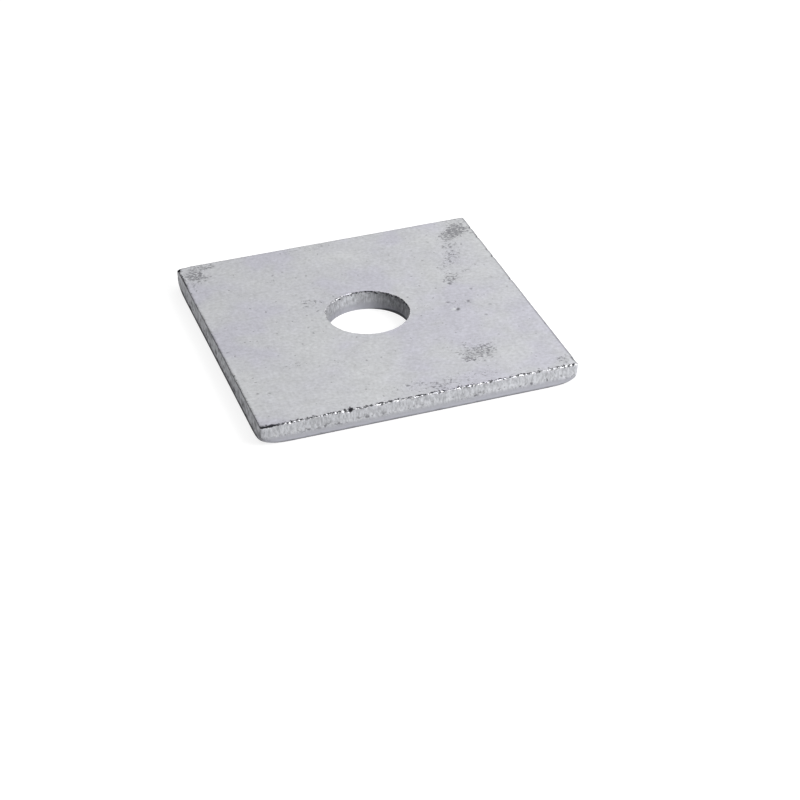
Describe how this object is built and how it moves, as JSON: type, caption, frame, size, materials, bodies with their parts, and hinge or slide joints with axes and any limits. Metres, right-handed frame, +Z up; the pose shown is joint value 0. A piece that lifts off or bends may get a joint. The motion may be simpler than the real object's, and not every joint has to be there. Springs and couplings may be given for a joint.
{
  "type": "square plate washer",
  "caption": "Square zinc-coated steel plate washer with one round bolt hole; spreads the load of a nut or bolt head over timber or masonry.",
  "frame": {"origin": "middle of the square, on the rolled-edge face that lies on the surface", "axes": "+Z up out of the torn-edge face, along the bolt; +X along one side; the hole sits a little towards +Y"},
  "size_m": [0.05, 0.05, 0.0033],
  "materials": {
    "zinc_steel": "dull zinc coat, sheared edges left as punched"
  },
  "bodies": {
    "root": {"plate_washer": "zinc_steel"}
  },
  "joints": []
}
